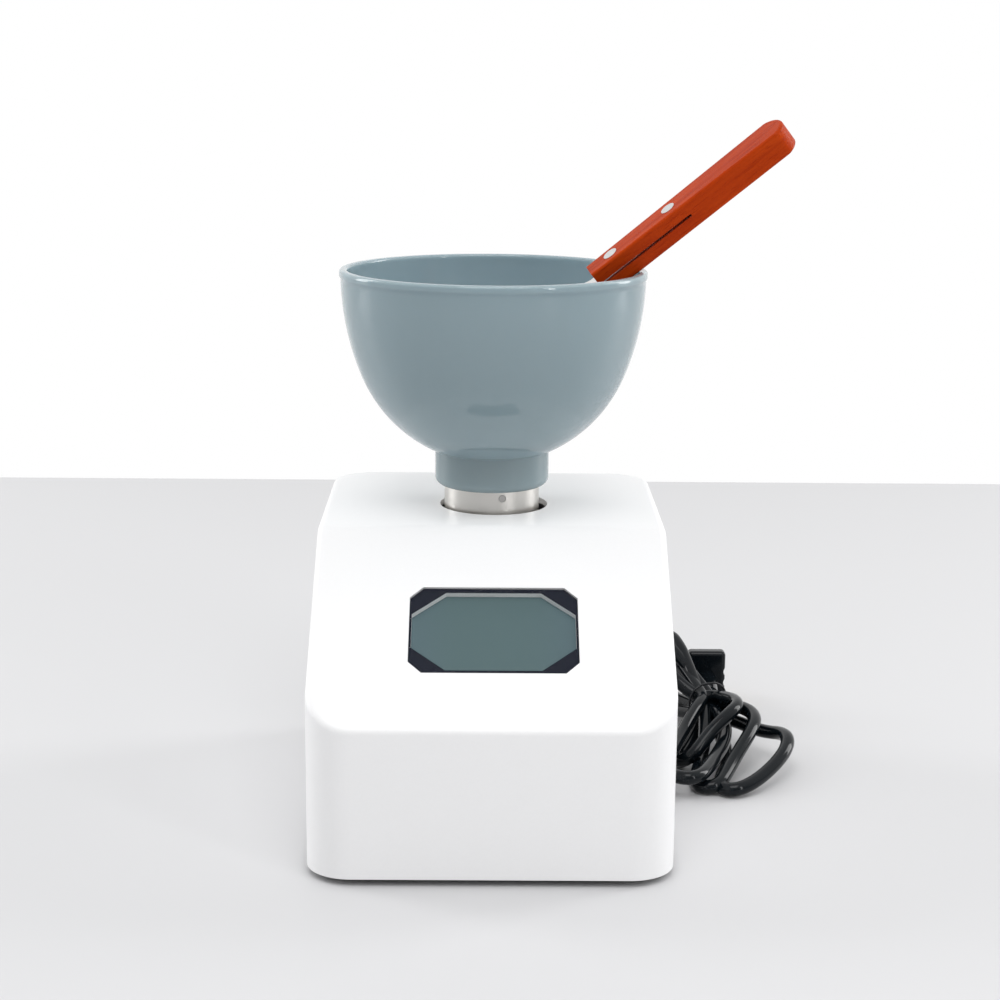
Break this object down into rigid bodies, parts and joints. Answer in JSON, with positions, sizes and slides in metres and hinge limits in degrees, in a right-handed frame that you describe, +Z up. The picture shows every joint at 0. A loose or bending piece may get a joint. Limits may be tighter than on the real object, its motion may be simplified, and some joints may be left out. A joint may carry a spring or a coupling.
{
  "type": "dental impression mixer",
  "caption": "Sloped bench mixer with a display, a bowl turning on a belt-driven spindle, a spatula in the bowl and a tied mains lead.",
  "frame": {"origin": "the spindle's axis where it meets the table plane under the rubber feet", "axes": "+Z up along the spindle, -Y towards the sloped front with the display, +X to the user's right when facing the display"},
  "size_m": [0.2083, 0.247, 0.2873],
  "materials": {
    "housing_white": "satin",
    "plate_steel": "matte",
    "foot_rubber": "matte",
    "zinc_steel": "satin",
    "clear_lens": "gloss",
    "mask_ink": "gloss",
    "white_plastic": "matte",
    "lcd_glass": "gloss",
    "board_green": "satin",
    "cast_alloy": "satin",
    "bearing_steel": "polished",
    "spring_steel": "satin",
    "brushed_steel": "brushed",
    "belt_rubber": "matte",
    "motor_paint": "satin",
    "magnet_grey": "matte",
    "copper_winding": "satin",
    "can_sleeve": "gloss",
    "black_plastic": "satin",
    "brass_pins": "satin",
    "lead_sleeve": "satin",
    "ribbon_grey": "matte",
    "bowl_plastic": "gloss",
    "polished_steel": "polished",
    "handle_wood": "satin",
    "cord_black": "gloss",
    "tie_black": "satin"
  },
  "bodies": {
    "housing": {"upper_cover": "housing_white", "base_plate": "plate_steel", "rubber_feet": "foot_rubber", "display_lens": "clear_lens", "mains_inlet": "black_plastic", "switch_bezel": "black_plastic", "display_mask": "mask_ink", "display_spacer": "white_plastic", "lcd_panel": "lcd_glass", "display_board": "board_green", "board_screws": "zinc_steel", "chassis_plate": "plate_steel", "chassis_posts": "zinc_steel", "frame_screws": "zinc_steel", "bearing_bridge": "plate_steel", "upper_bearing_housing": "cast_alloy", "lower_bearing_housing": "cast_alloy", "bearing_outer_rings": "bearing_steel", "drive_belt": "belt_rubber", "motor_can": "motor_paint", "motor_end_cap": "cast_alloy", "motor_magnets": "magnet_grey", "power_board": "board_green", "control_board": "board_green", "board_standoffs": "zinc_steel", "transformer": "copper_winding", "capacitors": "can_sleeve", "fuse": "zinc_steel", "control_chips": "black_plastic", "heat_sink": "cast_alloy", "board_connectors": "white_plastic", "inlet_pins": "brass_pins", "inside_leads": "lead_sleeve", "display_ribbon": "ribbon_grey", "base_screws": "zinc_steel", "foot_screws": "zinc_steel", "lead_connector": "cord_black", "cord_lead": "cord_black", "cord_hank": "cord_black", "cord_tie": "tie_black", "cord_tail": "cord_black", "plug_body": "cord_black", "plug_pins": "brass_pins"},
    "spindle": {"spindle_shaft": "bearing_steel", "shaft_circlips": "spring_steel", "bearing_inner_rings": "bearing_steel", "bearing_balls": "bearing_steel", "drive_collar": "brushed_steel", "collar_pin": "spring_steel", "spindle_pulley": "cast_alloy", "spindle_set_screw": "spring_steel"},
    "motor_drive": {"motor_shaft": "bearing_steel", "motor_rotor": "copper_winding", "motor_pulley": "cast_alloy", "motor_set_screw": "spring_steel"},
    "bowl": {"mixing_bowl": "bowl_plastic"},
    "spatula": {"spatula_blade": "polished_steel", "spatula_handle": "handle_wood", "spatula_rivets": "cast_alloy"},
    "rocker": {"switch_paddle": "black_plastic"}
  },
  "joints": [
    {"name": "spindle_spin", "type": "hinge", "parent": "housing", "child": "spindle", "pos_m": [0, 0, 0.1], "axis": [0, 0, 1], "continuous": true},
    {"name": "motor_spin", "type": "hinge", "parent": "housing", "child": "motor_drive", "pos_m": [0, -0.062, 0.06], "axis": [0, 0, 1], "continuous": true},
    {"name": "bowl_lift", "type": "slide", "parent": "spindle", "child": "bowl", "axis": [0, 0, 1], "range_m": [0, 0.1]},
    {"name": "spatula_lift", "type": "slide", "parent": "bowl", "child": "spatula", "axis": [0.7749, 0, 0.632], "range_m": [0, 0.15]},
    {"name": "power_rocker", "type": "hinge", "parent": "housing", "child": "rocker", "pos_m": [-0.038, 0.0665, 0.04], "axis": [1, 0, 0], "range_deg": [-16, 0]}
  ],
  "couplings": [
    {"joint": "motor_spin", "follows": "spindle_spin", "ratio": 2.5}
  ]
}
